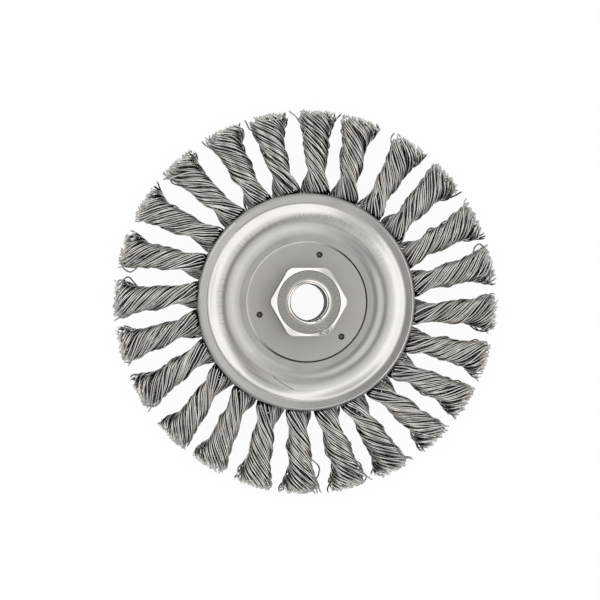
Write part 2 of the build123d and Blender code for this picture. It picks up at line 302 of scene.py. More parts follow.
def section_turn(reach):
    """Turn of the rope's section at these distances from the axis, in radians. The two legs stand on edge
    where the twist starts and at the neck, and turn at a steady rate from there on."""
    before_rim = -90 + 90 * (reach - TWIST_START) / (SIDE_BY_SIDE - TWIST_START)
    before_neck = RIM_TWIST + (90 - RIM_TWIST) * (reach - PLATE_R) / (NECK - PLATE_R)
    after = 90 + 360 * (reach - NECK) / TWIST_L
    twist = np.where(reach < PLATE_R, before_rim, np.where(reach < NECK, before_neck, after))
    return pi - np.radians(twist)


def rope_points(reach, around, level, rope):
    """Places in the rope, as arrays of wires by samples: x outwards, y round the wheel and z along the axis,
    and the way that looks out of the bundle there. around is the angle in the section, and level is 1 on its
    outline. rope holds the turn of its section, and how far it leans at its root and at its tip."""
    phase, root_lean, tip_lean = rope
    long_r = eased(reach, 1)
    short_r = eased(reach, 2)
    waist = eased(reach, 3)
    outline = 1 / np.hypot(np.cos(around) / long_r, np.sin(around) / short_r)
    outline = outline * (1 - waist * np.sin(around)**4) - WIRE_R
    lean = root_lean + (tip_lean - root_lean) * smooth_step(LEAN_START, LEAN_END, reach)
    angle = around + section_turn(reach) + phase
    y = lean + level * outline * np.cos(angle)
    z = np.maximum(level * outline * np.sin(angle), WIRE_R - MID_Z)     # no wire reaches into the floor
    drawn_in = y**2 / (2 * WHEEL_R)         # so that the ends are cut off round the wheel
    x = reach - drawn_in * smooth_step(FLARE_START, WHEEL_R, reach)
    outward = np.stack([0 * reach, np.cos(angle), np.sin(angle)], axis=-1)
    return np.stack([x, y, z], axis=-1), outward


def fold_points(around, level):
    """The hidden start of each wire, up or down through its hole in the core and over into a leg, and the way
    that looks out of the bundle there."""
    across = level * np.cos(around)
    side = level * np.sin(around)
    leg = np.sign(across)
    bend_r = LEG_Z - HALF_CORE + LEG_R * (2 * np.abs(across) - 1) * BEND_SPREAD
    points = [np.stack([FOLD_REACH - bend_r, LEG_R * side, 0 * side], axis=-1)]
    outward = [np.stack([-np.abs(np.cos(around)), np.sin(around), 0 * side], axis=-1)]
    for step in range(4):
        angle = pi - step * BEND_STEP
        x = FOLD_REACH + bend_r * cos(angle)
        z = -leg * (HALF_CORE + bend_r * sin(angle))
        points.append(np.stack([x, LEG_R * side, z], axis=-1))
        outward.append(np.stack(
            [np.abs(np.cos(around)) * cos(angle), np.sin(around), -np.cos(around) * sin(angle)], axis=-1))
    return np.stack(points, axis=1), np.stack(outward, axis=1)


def tube_mesh(paths, outward, radius, sides):
    """Points, quads and end caps of closed tubes along paths, an array of wires by samples by three. The
    first point of each ring looks outward, and the last value tells how far each point does, 0 to 1."""
    wires, count, _ = paths.shape
    ahead = np.gradient(paths, axis=1)
    ahead /= np.linalg.norm(ahead, axis=2, keepdims=True)
    normal = outward - ahead * np.sum(outward * ahead, axis=2, keepdims=True)
    normal /= np.linalg.norm(normal, axis=2, keepdims=True)
    side = np.cross(ahead, normal)
    angles = 2 * pi * np.arange(sides) / sides
    ring = (normal[:, :, None, :] * np.cos(angles)[None, None, :, None]
            + side[:, :, None, :] * np.sin(angles)[None, None, :, None])
    points = paths[:, :, None, :] + radius * ring
    index = np.arange(wires * count * sides).reshape(wires, count, sides)
    after = np.roll(index, -1, axis=2)
    quads = np.stack([index[:, :-1], after[:, :-1], after[:, 1:], index[:, 1:]], axis=-1).reshape(-1, 4)
    caps = np.concatenate([index[:, 0, ::-1], index[:, -1, :]])
    facing = np.broadcast_to(np.clip(np.cos(angles), 0, 1), (wires, count, sides))
    return (points.reshape(-1, 3), quads, caps), facing


def mesh_piece(name, parts, node, tones=None):
    """Object that stands for a node, from (points, quads, caps) parts. Quads are shaded smooth, caps flat,
    and tones, if given, tell how light the wire is painted at each point: its own tone and painted shade."""
    points, loops, sizes, smooth = [], [], [], []
    base = 0
    for vertices, quads, caps in parts:
        for faces, is_smooth in ((quads, True), (caps, False)):
            if len(faces):
                loops.append((faces + base).ravel())
                sizes.append(np.full(len(faces), faces.shape[1]))
                smooth.append(np.full(len(faces), is_smooth))
        points.append(vertices)
        base += len(vertices)
    points = np.concatenate(points)
    loops = np.concatenate(loops)
    sizes = np.concatenate(sizes)
    mesh = bpy.data.meshes.new(name)
    mesh.vertices.add(len(points))
    mesh.vertices.foreach_set("co", points.astype(np.float32).ravel())
    mesh.loops.add(len(loops))
    mesh.loops.foreach_set("vertex_index", loops.astype(np.int32))
    mesh.polygons.add(len(sizes))
    starts = np.concatenate([[0], np.cumsum(sizes)[:-1]])
    mesh.polygons.foreach_set("loop_start", starts.astype(np.int32))
    mesh.polygons.foreach_set("loop_total", sizes.astype(np.int32))
    mesh.polygons.foreach_set("use_smooth", np.concatenate(smooth))
    mesh.update(calc_edges=True)
    mesh.validate()
    if tones is not None:
        attribute = mesh.attributes.new("wire_tone_and_shade", "FLOAT", "POINT")
        attribute.data.foreach_set("value", tones.astype(np.float32))
    piece = bpy.data.objects.new(name, mesh)
    bpy.context.scene.collection.objects.link(piece)
    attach(piece, "root")
    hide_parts(node)
    return piece


def waves(rng, reach, size, shortest, longest):
    """Gentle waves along each wire, the remains of its crimp, as an array of wires by samples."""
    wires = len(reach)
    offset = np.zeros_like(reach)
    for _ in range(3):
        length = rng.uniform(shortest, longest, (wires, 1))
        start = rng.uniform(0, 2 * pi, (wires, 1))
        offset += np.sin(2 * pi * reach / length + start)
    return offset * size / 2


def cut_ends(rng, wires):
    """Distances from the axis at which the wires of one layer are cut off."""
    long = rng.uniform(0, 1, (wires, 1)) < LONG_SHARE
    ends = np.where(long, rng.normal(*LONG_ENDS, (wires, 1)), rng.normal(*SHORT_ENDS, (wires, 1)))
    return CUT_R + np.clip(ends, *END_LIMITS)


def layer(rng, wires, depth, samples, bunch):
    """Distances, angles and levels of one layer of wires from the start of the twist to their cut ends.
    bunch tells how far the wires at an angle lie in or out together."""
    each = (wires, 1)
    even = 2 * pi * (np.arange(wires)[:, None] + rng.uniform(-GAP_SPREAD, GAP_SPREAD, each)) / wires
    reach = TWIST_START + (cut_ends(rng, wires) - TWIST_START) * np.linspace(0, 1, samples)
    level = depth - np.abs(rng.normal(0, SINK_SPREAD, each)) + BUNCH_LEVEL * bunch(even)
    level = level + waves(rng, reach, *LEVEL_WAVE)
    around = even + waves(rng, reach, *ANGLE_WAVE)
    astray = (rng.uniform(0, 1, each) < STRAY_SHARE) * smooth_step(PLATE_R, NECK, reach)
    around = around + astray * waves(rng, reach, *STRAY_WAVE)
    around = around + rng.normal(0, TIP_SPREAD, each) * smooth_step(WHEEL_R - TIP_L, WHEEL_R, reach)
    level = level + STRAY_LEVEL * astray
    splay = np.where(rng.uniform(0, 1, each) < SPLAY_SHARE, rng.uniform(*SPLAY_LEVELS, each), 0)
    splay = splay + rng.normal(0, SPLAY_SPREAD, each)
    level = level + splay * smooth_step(WHEEL_R - rng.uniform(*SPLAY_L, each), WHEEL_R, reach)
    return reach, around, level


def loose_wire(rng, side, leave, back, height, free, rope):
    """Path of one wire that bows off the rope on a side of the knot, at an angle in the section."""
    share = np.linspace(-LOOSE_DIP, 1 if free else 1 + LOOSE_DIP, LOOSE_SAMPLES)[None, :]
    reach = leave + (back - leave) * share
    facing = side - LOOSE_TURN * 2 * pi * (reach - (leave + back) / 2) / TWIST_L
    around = facing - section_turn(reach) - rope[0]
    bow = np.clip(share, 0, 1)**1.5 if free else np.sin(pi * share)
    bow = height * bow * (1 + LOOSE_KINK * np.sin(2 * pi * share + rng.uniform(0, 2 * pi)))
    level = LOOSE_LEVEL + bow / ROPE_R
    return rope_points(reach, around, level, rope)


def wire_knot(number, name):
    """One knot as its wires: three layers from the core to the tip, the short inner wires that fill the
    flared end, and a few loose ones."""
    rng = np.random.default_rng(SEED + number)
    angle = FIRST_KNOT + 2 * pi * (number - 1) / len(KNOTS)
    sway = cos(angle - SWAY_SIDE)
    turn = rng.normal(0, TURN_SPREAD)
    rope = (turn, ROOT_SWAY * sway, TIP_LEAN + TIP_SWAY * sway + rng.normal(0, LEAN_SPREAD))
    starts = rng.uniform(0, 2 * pi, len(BUNCHES))

    def bunch(around):
        return sum(np.cos(count * around + start) for count, start in zip(BUNCHES, starts)) / BUNCH_PEAK

    parts, tones = [], []

    def add(paths, outward, sides, tone):
        tube, facing = tube_mesh(paths, outward, WIRE_R, sides)
        parts.append(tube)
        # Painted shade: each wire is painted darker on its flanks, where it turns into the bundle, and its
        # cut end lighter
        shade = np.reshape(tone, (-1, 1, 1)) * (GROOVE_SHADE + (1 - GROOVE_SHADE) * facing**4)
        shade[:, -1] = CUT_TONE
        tones.append(shade.ravel())

    for wires, depth, samples, sides, dull, bright in LAYERS:
        reach, around, level = layer(rng, wires, depth, samples, bunch)
        fold, fold_outward = fold_points(around[:, 0], np.minimum(level[:, 0], 1.0))
        twist, twist_outward = rope_points(reach, around, level, rope)
        paths = np.concatenate([fold, twist], axis=1)
        outward = np.concatenate([fold_outward, twist_outward], axis=1)
        # Each wire's tone differs at random, plus the painted shade of its bunch
        tone = rng.uniform(dull, bright, wires) + BUNCH_SHADE * bunch(around[:, 0])
        add(paths, outward, sides, np.clip(tone, 0, 1))
    ends = cut_ends(rng, CORE_WIRES)
    reach = CORE_START + (ends - CORE_START) * np.linspace(0, 1, CORE_SAMPLES)
    around = rng.uniform(0, 2 * pi, (CORE_WIRES, 1)) + waves(rng, reach, *CORE_WAVE)
    level = np.sqrt(rng.uniform(0, CORE_FILL, (CORE_WIRES, 1))) + 0 * reach
    add(*rope_points(reach, around, level, rope), CORE_SIDES, rng.uniform(*CORE_TONES, CORE_WIRES))
    loose = [row[1:] for row in LOOSE_WIRES if row[0] == number]
    for side, leave, back, height, free in loose:
        path = loose_wire(rng, 0 if side > 0 else pi, leave, back, height, free, rope)
        add(*path, LOOSE_SIDES, rng.uniform(*LOOSE_TONES, 1))
    for _ in range(rng.integers(*SMALL_LOOPS)):
        side = rng.integers(0, 2) * pi + rng.normal(0, LOOP_SPREAD)
        leave = rng.uniform(*LOOP_LEAVES)
        back = min(leave + rng.uniform(*LOOP_L), LOOP_REACH)
        height = rng.uniform(*LOOP_HEIGHTS)
        path = loose_wire(rng, side, leave, back, height, back > FREE_FROM, rope)
        add(*path, LOOSE_SIDES, rng.uniform(*LOOP_TONES, 1))
    c, s = cos(angle), sin(angle)
    placed = []
    for vertices, quads, caps in parts:
        x = vertices[:, 0] * c - vertices[:, 1] * s
        y = vertices[:, 0] * s + vertices[:, 1] * c
        placed.append((np.stack([x, y, vertices[:, 2] + MID_Z], axis=-1), quads, caps))
    return mesh_piece(name + "_wires", placed, name, np.concatenate(tones))


def nut_rows(theta):
    """Rings of the nut's section, as (radius, height) arrays over the angles: over the top face, down the
    flats and the shank, round the rolled lip and up the bore."""
    flat = NUT_AF / 2 / np.cos(np.radians(np.degrees(theta) % 60 - 30))
    outer = np.minimum(flat, NUT_CORNER_R)
    same = np.ones_like(theta)
    rows = [((MOUTH_R + EDGE_BREAK / 2) * same, TOP_Z * same)]
    for share in (0.33, 0.66, 1.0):
        rows.append(((MOUTH_R + (FACE_R - MOUTH_R) * share) * same, TOP_Z * same))
    for share in (0.3, 0.6, 0.9, 1.0):
        radius = FACE_R + (outer - FACE_R) * share
        rows.append((radius, TOP_Z - (radius - FACE_R) * tan(CHAMFER)))
    for height in (TOP_Z - 2 * MM, (TOP_Z + HEAD_Z) / 2, HEAD_Z + EDGE_BREAK):
        rows.append((outer, height * same))
    rows.append((outer - EDGE_BREAK, HEAD_Z * same))
    for radius, height in ((SHANK_R, HEAD_Z), (SHANK_R, LIP_T), (LIP_R, LIP_T)):
        rows.append((radius * same, height * same))
    for middle, first in ((LIP_R - LIP_EDGE_R, 0), (RELIEF_R + LIP_EDGE_R, -90)):
        for turn in (0, 30, 60, 90):
            angle = radians(first - turn)
            rows.append(((middle + LIP_EDGE_R * cos(angle)) * same,
                         (LIP_EDGE_R + LIP_EDGE_R * sin(angle)) * same))
    cone_low = RELIEF_L - (RELIEF_R - THREAD_R)
    count = int((TOP_Z - cone_low) / THREAD_PITCH * THREAD_ROWS)
    for height in np.linspace(cone_low, TOP_Z, count):
        turns = height / THREAD_PITCH - theta / (2 * pi)
        from_crest = np.abs(turns % 1 - 0.5)
        radius = THREAD_R + THREAD_DEPTH * np.clip((from_crest - THREAD_CREST) / THREAD_FLANK, 0, 1)
        radius = np.maximum(radius, RELIEF_R - (height - cone_low))
        radius = np.maximum(radius, MOUTH_R - MOUTH_SLOPE * (TOP_Z - height))
        radius = np.maximum(radius, MOUTH_R - WORN_STEP - WORN_SLOPE * (TOP_Z - height))
        rows.append((radius, height * same))
    return rows


def threaded_nut():
    """The arbor nut with its thread cut."""
    theta = 2 * pi * np.arange(NUT_STEPS) / NUT_STEPS
    rows = nut_rows(theta)
    points = np.array([np.stack([r * np.cos(theta), r * np.sin(theta), z], axis=-1) for r, z in rows])
    index = np.arange(len(rows) * NUT_STEPS).reshape(len(rows), NUT_STEPS)
    below = np.roll(index, -1, axis=0)
    quads = np.stack([index, below, np.roll(below, -1, axis=1), np.roll(index, -1, axis=1)], axis=-1)
    points = points.reshape(-1, 3)
    piece = mesh_piece("threaded_nut", [(points, quads.reshape(-1, 4), [])], "arbor_nut")
    mesh = piece.data
    mesh.set_sharp_from_angle(angle=SHARP_FROM)
    crisp = mesh.attributes["sharp_edge"].data
    sharp = np.empty(len(mesh.edges), bool)
    crisp.foreach_get("value", sharp)
    ends = np.empty(2 * len(mesh.edges), np.int32)
    mesh.edges.foreach_get("vertices", ends)
    reach = np.hypot(points[:, 0], points[:, 1])[ends.reshape(-1, 2)].max(axis=1)
    crisp.foreach_set("value", sharp & (reach > MOUTH_R - BORE_MARGIN))       # the bore is smooth all over
    return piece


# Sockets of a Mix node that mixes colours, where names alone don't tell them apart
COLOUR_A, COLOUR_B, COLOUR_OUT = 6, 7, 2


def linear(hex_colour):
    """sRGB hex to linear RGBA."""
    values = [int(hex_colour[i:i + 2], 16) / 255 for i in (1, 3, 5)]
    return (*[v / 12.92 if v <= 0.04045 else ((v + 0.055) / 1.055)**2.4 for v in values], 1)


def add_node(tree, kind, settings, inputs):
    """Node with its settings, and its inputs set to values or linked to nodes or to their sockets."""
    node = tree.nodes.new(kind)
    for name, value in settings.items():
        setattr(node, name, value)
    for socket, value in inputs.items():
        if isinstance(value, bpy.types.Node):
            value = value.outputs[0]
        if isinstance(value, bpy.types.NodeSocket):
            tree.links.new(value, node.inputs[socket])
        else:
            node.inputs[socket].default_value = value
    return node


def new_material(name):
    """Material with an empty node tree, and the tree."""
    material = bpy.data.materials.new(name)
    material.use_nodes = True
    material.node_tree.nodes.clear()
    return material, material.node_tree


def about_axis(tree):
    """Distance from the wheel's axis, the unit vector away from it, and the place itself."""
    place = add_node(tree, "ShaderNodeTexCoord", {}, {}).outputs["Object"]
    flat = add_node(tree, "ShaderNodeVectorMath", {"operation": "MULTIPLY"}, {0: place, 1: (1, 1, 0)})
    radius = add_node(tree, "ShaderNodeVectorMath", {"operation": "LENGTH"}, {0: flat}).outputs["Value"]
    heading = add_node(tree, "ShaderNodeVectorMath", {"operation": "NORMALIZE"}, {0: flat})
    return radius, heading, place


def one_side(tree, heading, way, none, full):
    """0 to 1 towards the side of the wheel that way points to, between the cosines none and full."""
    along = add_node(tree, "ShaderNodeVectorMath", {"operation": "DOT_PRODUCT"}, {0: heading, 1: way})
    return add_node(tree, "ShaderNodeMapRange", {"interpolation_type": "SMOOTHSTEP"}, {
        "Value": along.outputs["Value"], "From Min": none, "From Max": full, "To Min": 0, "To Max": 1})


def turning_lines(tree, radius, heading, spacing, arc):
    """Fine rings about the wheel's axis, 0 to 1. spacing is their pitch, and a larger arc breaks them up
    more often round the wheel."""
    ring = add_node(tree, "ShaderNodeMath", {"operation": "DIVIDE"}, {0: radius, 1: spacing})
    lift = add_node(tree, "ShaderNodeCombineXYZ", {}, {"Z": ring})
    spread = add_node(tree, "ShaderNodeVectorMath", {"operation": "SCALE"}, {0: heading, "Scale": arc})
    where = add_node(tree, "ShaderNodeVectorMath", {"operation": "ADD"}, {0: spread, 1: lift})
    return add_node(tree, "ShaderNodeTexNoise", {}, {"Vector": where, "Scale": 1, "Detail": 2})


def draw_marks(tree, radius, heading):
    """Short marks across the plate's shoulder, where the sheet was stretched over the punch, 0 to 1."""
    streak = add_node(tree, "ShaderNodeVectorMath", {"operation": "SCALE"}, {
        0: heading, "Scale": MARKS_ROUND})
    depth = add_node(tree, "ShaderNodeMath", {"operation": "DIVIDE"}, {0: radius, 1: MARK_L})
    lift = add_node(tree, "ShaderNodeCombineXYZ", {}, {"Z": depth})
    where = add_node(tree, "ShaderNodeVectorMath", {"operation": "ADD"}, {0: streak, 1: lift})
    streaks = add_node(tree, "ShaderNodeTexNoise", {}, {"Vector": where, "Scale": 1, "Detail": 1})
    marks = add_node(tree, "ShaderNodeMapRange", {"interpolation_type": "SMOOTHSTEP"}, {
        "Value": streaks, "From Min": 0.52, "From Max": 0.72, "To Min": 0, "To Max": 1})
    for begin, full in MARK_ENDS:
        fade = add_node(tree, "ShaderNodeMapRange", {"interpolation_type": "SMOOTHSTEP"}, {
            "Value": radius, "From Min": begin, "From Max": full, "To Min": 0, "To Max": 1})
        marks = add_node(tree, "ShaderNodeMath", {"operation": "MULTIPLY"}, {0: marks, 1: fade})
    side = one_side(tree, heading, *MARKED_SIDE)
    return add_node(tree, "ShaderNodeMath", {"operation": "MULTIPLY"}, {0: marks, 1: side})


def scratch(tree, place):
    """One long thin scratch on the front plate, part of a circle, 0 to 1."""
    across = add_node(tree, "ShaderNodeVectorMath", {"operation": "SUBTRACT"}, {
        0: place, 1: SCRATCH_CENTRE})
    across = add_node(tree, "ShaderNodeVectorMath", {"operation": "MULTIPLY"}, {0: across, 1: (1, 1, 0)})
    far = add_node(tree, "ShaderNodeVectorMath", {"operation": "LENGTH"}, {0: across}).outputs["Value"]
    line = add_node(tree, "ShaderNodeMath", {"operation": "COMPARE"}, {
        0: far, 1: SCRATCH_R, 2: SCRATCH_W / 2})
    way = add_node(tree, "ShaderNodeVectorMath", {"operation": "NORMALIZE"}, {0: across})
    along = add_node(tree, "ShaderNodeVectorMath", {"operation": "DOT_PRODUCT"}, {0: way, 1: SCRATCH_WAY})
    ends = add_node(tree, "ShaderNodeMapRange", {"interpolation_type": "SMOOTHSTEP"}, {
        "Value": along.outputs["Value"], "From Min": SCRATCH_END, "From Max": SCRATCH_FULL,
        "To Min": 0, "To Max": 1})
    return add_node(tree, "ShaderNodeMath", {"operation": "MULTIPLY"}, {0: line, 1: ends})


def pressed_zinc_plate():
    """Deep-drawn mild steel sheet, bright zinc plated: satin silver with a fine orange peel, short marks on
    the front's shoulder, a scratch, and a shear-cut edge that is rougher and painted darker as painted shade."""
    material, tree = new_material("pressed zinc-plated sheet")
    radius, heading, place = about_axis(tree)
    lines = turning_lines(tree, radius, heading, PLATE_LINES, arc=2.5)
    stain = add_node(tree, "ShaderNodeTexNoise", {}, {"Vector": place, "Scale": 1 / PLATE_STAIN, "Detail": 3})
    colour = add_node(tree, "ShaderNodeMix", {"data_type": "RGBA"}, {
        "Factor": stain, COLOUR_A: linear("#cac6c2"), COLOUR_B: linear("#dcd8d4")}).outputs[COLOUR_OUT]
    # The shear-cut edge is rougher, and painted darker as painted shade
    sheared_and_shaded = add_node(tree, "ShaderNodeMapRange", {"interpolation_type": "SMOOTHSTEP"}, {
        "Value": radius, "From Min": SHEARED_SHADED_R, "From Max": SHEARED_SHADED_R + SHEARED_SHADE_FADE,
        "To Min": 0, "To Max": 1})
    colour = add_node(tree, "ShaderNodeMix", {"data_type": "RGBA"}, {
        "Factor": sheared_and_shaded, COLOUR_A: colour, COLOUR_B: linear("#8f8b87")}).outputs[COLOUR_OUT]
    marks = draw_marks(tree, radius, heading)
    line = scratch(tree, place)
    worn = add_node(tree, "ShaderNodeMath", {"operation": "MULTIPLY_ADD"}, {
        0: marks, 1: MARK_TONE, 2: line})
    height = add_node(tree, "ShaderNodeSeparateXYZ", {}, {0: place}).outputs["Z"]
    front = add_node(tree, "ShaderNodeMath", {"operation": "GREATER_THAN"}, {0: height, 1: MID_Z})
    worn = add_node(tree, "ShaderNodeMath", {"operation": "MULTIPLY"}, {0: worn, 1: front})
    colour = add_node(tree, "ShaderNodeMix", {"data_type": "RGBA", "clamp_factor": True}, {
        "Factor": worn, COLOUR_A: colour, COLOUR_B: linear("#7d7a76")}).outputs[COLOUR_OUT]
    rough = add_node(tree, "ShaderNodeMapRange", {}, {
        "Value": lines, "From Min": 0.3, "From Max": 0.7, "To Min": 0.15, "To Max": 0.21})
    rough = add_node(tree, "ShaderNodeMath", {"operation": "MULTIPLY_ADD"}, {0: sheared_and_shaded, 1: 0.2, 2: rough})
    uneven = add_node(tree, "ShaderNodeTexNoise", {}, {"Vector": place, "Scale": 1 / PLATE_WAVE, "Detail": 1})
    bump = add_node(tree, "ShaderNodeBump", {}, {
        "Strength": 1, "Distance": PLATE_WAVE_DEPTH, "Height": uneven})
    bump = add_node(tree, "ShaderNodeBump", {}, {
        "Strength": 0.2, "Distance": PLATE_LINE_DEPTH, "Height": lines, "Normal": bump})
    peel = add_node(tree, "ShaderNodeTexNoise", {}, {"Vector": place, "Scale": 1 / PLATE_PEEL, "Detail": 1})
    bump = add_node(tree, "ShaderNodeBump", {}, {
        "Strength": 0.5, "Distance": PLATE_PEEL_DEPTH, "Height": peel, "Normal": bump})
    shader = add_node(tree, "ShaderNodeBsdfPrincipled", {}, {
        "Base Color": colour, "Metallic": 1, "Roughness": rough, "Normal": bump})
    add_node(tree, "ShaderNodeOutputMaterial", {}, {"Surface": shader})
    return material


def satin_washer():
    """Blanked steel washer, zinc plated and tumbled: a flatter grey than the plates, with faint rings,
    painted shade in its punch marks and a painted shadow along its foot where it stands off the plate."""
    material, tree = new_material("tumbled zinc-plated washer")
    radius, heading, place = about_axis(tree)
    lines = turning_lines(tree, radius, heading, WASHER_LINES, arc=1.5)
    stain = add_node(tree, "ShaderNodeTexNoise", {}, {
        "Vector": place, "Scale": 1 / WASHER_STAIN, "Detail": 3})
    colour = add_node(tree, "ShaderNodeMix", {"data_type": "RGBA"}, {
        "Factor": stain, COLOUR_A: linear("#c2beba"), COLOUR_B: linear("#d0ccc8")}).outputs[COLOUR_OUT]
    height = add_node(tree, "ShaderNodeSeparateXYZ", {}, {0: place}).outputs["Z"]
    # Painted shade in the punch marks, darker with depth
    depth = add_node(tree, "ShaderNodeMapRange", {"interpolation_type": "SMOOTHSTEP"}, {
        "Value": height, "From Min": HEAD_Z - PIT_FLOOR, "From Max": HEAD_Z - PIT_EDGE,
        "To Min": 1, "To Max": 0})
    inside = add_node(tree, "ShaderNodeMath", {"operation": "LESS_THAN"}, {0: radius, 1: PITS_WITHIN})
    pit_shade = add_node(tree, "ShaderNodeMath", {"operation": "MULTIPLY"}, {0: depth, 1: inside})
    colour = add_node(tree, "ShaderNodeMix", {"data_type": "RGBA"}, {
        "Factor": pit_shade, COLOUR_A: colour, COLOUR_B: linear("#7a7672")}).outputs[COLOUR_OUT]
    # Painted shadow: a dark line along the washer's foot, on one side
    foot = add_node(tree, "ShaderNodeMapRange", {"interpolation_type": "SMOOTHSTEP"}, {
        "Value": radius, "From Min": FOOT_SHADOW_ENDS[0], "From Max": FOOT_SHADOW_ENDS[1], "To Min": 0, "To Max": 1})
    shadow_side = one_side(tree, heading, *FOOT_SHADOW_SIDE)
    foot_shadow = add_node(tree, "ShaderNodeMath", {"operation": "MULTIPLY"}, {0: foot, 1: shadow_side})
    colour = add_node(tree, "ShaderNodeMix", {"data_type": "RGBA"}, {
        "Factor": foot_shadow, COLOUR_A: colour, COLOUR_B: linear("#34302d")}).outputs[COLOUR_OUT]
    rough = add_node(tree, "ShaderNodeMapRange", {}, {
        "Value": lines, "From Min": 0.3, "From Max": 0.7, "To Min": 0.3, "To Max": 0.4})
    bump = add_node(tree, "ShaderNodeBump", {}, {
        "Strength": 0.25, "Distance": TURNED_DEPTH, "Height": lines})
    round_axis = add_node(tree, "ShaderNodeTangent", {"direction_type": "RADIAL", "axis": "Z"}, {})
    shader = add_node(tree, "ShaderNodeBsdfPrincipled", {}, {
        "Base Color": colour, "Metallic": 1, "Roughness": rough, "Normal": bump,
        "Anisotropic": 0.5, "Anisotropic Rotation": 0.25, "Tangent": round_axis})
    add_node(tree, "ShaderNodeOutputMaterial", {}, {"Surface": shader})
    return material


def turned_nut_steel():
    """Free-cutting steel bar, turned and zinc plated: grainy on its face, bright on the chamfers, with a
    painted highlight round the mouth and a thin ring of painted shade on the face, rougher flats painted
    darker as painted shade, and a darker, rougher knocked corner."""
    material, tree = new_material("turned zinc-plated steel")
    radius, heading, place = about_axis(tree)
    facing = add_node(tree, "ShaderNodeNewGeometry", {}, {})
    upward = add_node(tree, "ShaderNodeSeparateXYZ", {}, {0: facing.outputs["Normal"]}).outputs["Z"]
    # Surfaces that stand upright, the flats among them: painted shade and a rougher finish
    flat = add_node(tree, "ShaderNodeMapRange", {"interpolation_type": "SMOOTHSTEP"}, {
        "Value": upward, "From Min": 0.2, "From Max": 0.6, "To Min": 1, "To Max": 0})
    face = add_node(tree, "ShaderNodeMapRange", {"interpolation_type": "SMOOTHSTEP"}, {
        "Value": upward, "From Min": 0.93, "From Max": 0.99, "To Min": 0, "To Max": 1})
    grain = add_node(tree, "ShaderNodeTexNoise", {}, {"Vector": place, "Scale": 1 / NUT_GRAIN, "Detail": 2})
    grainy = add_node(tree, "ShaderNodeMapRange", {"interpolation_type": "SMOOTHSTEP"}, {
        "Value": grain, "From Min": 0.35, "From Max": 0.65, "To Min": 0, "To Max": 1})
    faced = add_node(tree, "ShaderNodeMix", {"data_type": "RGBA"}, {
        "Factor": grainy, COLOUR_A: linear("#9f9b96"), COLOUR_B: linear("#b8b4af")}).outputs[COLOUR_OUT]
    # Painted highlight: a lighter ring on the face round the mouth
    mouth_highlight = add_node(tree, "ShaderNodeMapRange", {"interpolation_type": "SMOOTHSTEP"}, {
        "Value": radius, "From Min": MOUTH_R, "From Max": MOUTH_R + MOUTH_HIGHLIGHT_W,
        "To Min": MOUTH_HIGHLIGHT_TONE, "To Max": 0})
    faced = add_node(tree, "ShaderNodeMix", {"data_type": "RGBA"}, {
        "Factor": mouth_highlight, COLOUR_A: faced, COLOUR_B: linear("#dfdbd7")}).outputs[COLOUR_OUT]
    # Painted shade: a thin dark ring on the face near its edge
    face_shade_ring = add_node(tree, "ShaderNodeMath", {"operation": "COMPARE"}, {
        0: radius, 1: FACE_SHADE_R, 2: FACE_SHADE_W / 2})
    face_shade_ring = add_node(tree, "ShaderNodeMath", {"operation": "MULTIPLY"}, {0: face_shade_ring, 1: FACE_SHADE_TONE})
    faced = add_node(tree, "ShaderNodeMix", {"data_type": "RGBA"}, {
        "Factor": face_shade_ring, COLOUR_A: faced, COLOUR_B: linear("#4a4643")}).outputs[COLOUR_OUT]
    knocked = one_side(tree, heading, *KNOCKED_CORNER)
    knocked = add_node(tree, "ShaderNodeMath", {"operation": "MULTIPLY"}, {0: knocked, 1: grainy})
    dull_and_shaded = add_node(tree, "ShaderNodeMath", {"operation": "MAXIMUM"}, {0: flat, 1: knocked})
    # Painted shade: the flats are painted darker than the chamfers; the knocked corner is darker from wear
    colour = add_node(tree, "ShaderNodeMix", {"data_type": "RGBA"}, {
        "Factor": dull_and_shaded, COLOUR_A: linear("#dfdbd7"), COLOUR_B: linear("#918d88")}).outputs[COLOUR_OUT]
    colour = add_node(tree, "ShaderNodeMix", {"data_type": "RGBA"}, {
        "Factor": face, COLOUR_A: colour, COLOUR_B: faced}).outputs[COLOUR_OUT]
    rough = add_node(tree, "ShaderNodeMapRange", {}, {"Value": dull_and_shaded, "To Min": 0.18, "To Max": 0.42})
    rough = add_node(tree, "ShaderNodeMath", {"operation": "MULTIPLY_ADD"}, {0: face, 1: 0.16, 2: rough})
    lines = turning_lines(tree, radius, heading, NUT_LINES, arc=1.0)
    bump = add_node(tree, "ShaderNodeBump", {}, {
        "Strength": 0.3, "Distance": TURNED_DEPTH, "Height": lines})
    shader = add_node(tree, "ShaderNodeBsdfPrincipled", {}, {
        "Base Color": colour, "Metallic": 1, "Roughness": rough, "Normal": bump})
    add_node(tree, "ShaderNodeOutputMaterial", {}, {"Surface": shader})
    return material


